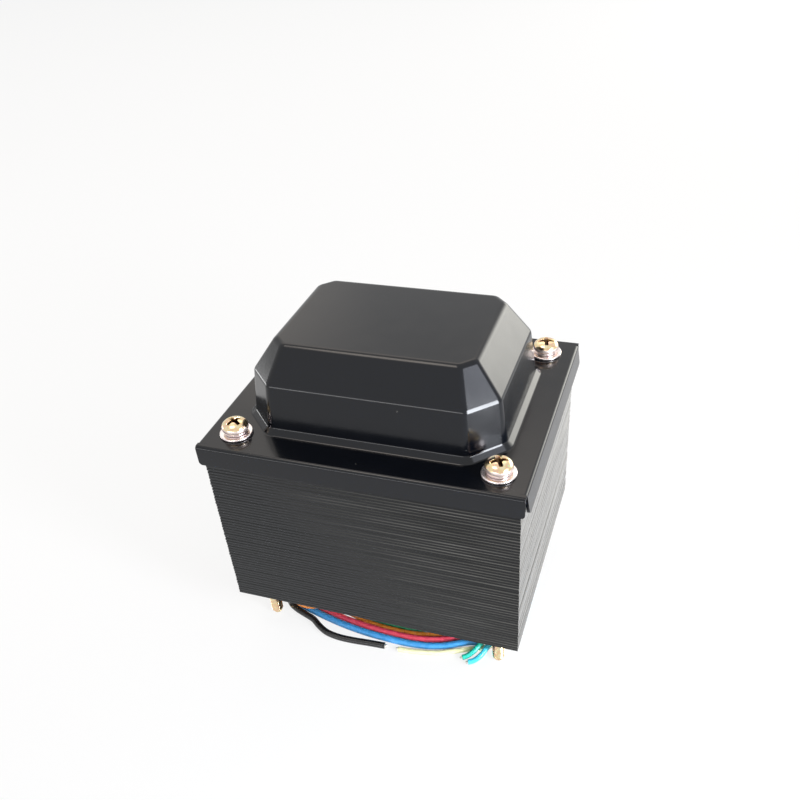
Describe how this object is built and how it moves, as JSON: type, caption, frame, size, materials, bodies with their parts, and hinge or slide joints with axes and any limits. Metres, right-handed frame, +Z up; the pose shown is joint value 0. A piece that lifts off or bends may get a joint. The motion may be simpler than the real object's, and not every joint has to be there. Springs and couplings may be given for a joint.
{
  "type": "drop-through power transformer with bell cover",
  "caption": "Drop-through transformer: black interleaved core, pressed bell cover, through bolts and loose leads.",
  "frame": {"origin": "centre of the core in plan, on the surface that the coil's lower flanges stand on", "axes": "+Z up through the bell cover, X along the core's longer side, -Y towards the front"},
  "size_m": [0.1006, 0.082, 0.1036],
  "materials": {
    "core_varnish": "black varnished lamination edges",
    "cover_paint": "satin gloss black enamel",
    "zinc_gold": "yellow zinc plating, iridescent",
    "zinc_bright": "bright zinc plating",
    "former_plastic": "black moulded nylon",
    "copper_winding": "enamelled copper wire",
    "amber_tape": "amber polyester tape",
    "pvc_black": "black PVC lead sleeve",
    "pvc_blue": "blue PVC lead sleeve",
    "pvc_red": "red PVC lead sleeve",
    "pvc_orange": "orange PVC lead sleeve",
    "pvc_green": "green PVC lead sleeve",
    "pvc_cream": "cream PVC lead sleeve",
    "pvc_teal": "teal PVC lead sleeve",
    "pvc_cyan": "cyan PVC lead sleeve"
  },
  "bodies": {
    "root": {"e_laminations_front": "core_varnish", "i_laminations_rear": "core_varnish", "e_laminations_rear": "core_varnish", "i_laminations_front": "core_varnish", "coil_former": "former_plastic", "winding": "copper_winding", "winding_wrap": "amber_tape", "bell_cover": "cover_paint", "bolt_front_left": "zinc_gold", "bolt_front_right": "zinc_gold", "bolt_rear_left": "zinc_gold", "bolt_rear_right": "zinc_gold", "spring_washer_front_left": "zinc_bright", "spring_washer_front_right": "zinc_bright", "spring_washer_rear_left": "zinc_bright", "spring_washer_rear_right": "zinc_bright", "flat_washer_front_left": "zinc_bright", "flat_washer_front_right": "zinc_bright", "flat_washer_rear_left": "zinc_bright", "flat_washer_rear_right": "zinc_bright", "lower_washer_front_left": "zinc_bright", "lower_washer_front_right": "zinc_bright", "lower_washer_rear_left": "zinc_bright", "lower_washer_rear_right": "zinc_bright", "nut_front_left": "zinc_gold", "nut_front_right": "zinc_gold", "nut_rear_left": "zinc_gold", "nut_rear_right": "zinc_gold", "lead_black": "pvc_black", "lead_blue": "pvc_blue", "lead_red": "pvc_red", "lead_orange": "pvc_orange", "lead_green": "pvc_green", "lead_cream": "pvc_cream", "lead_teal": "pvc_teal", "lead_cyan": "pvc_cyan"}
  },
  "joints": []
}
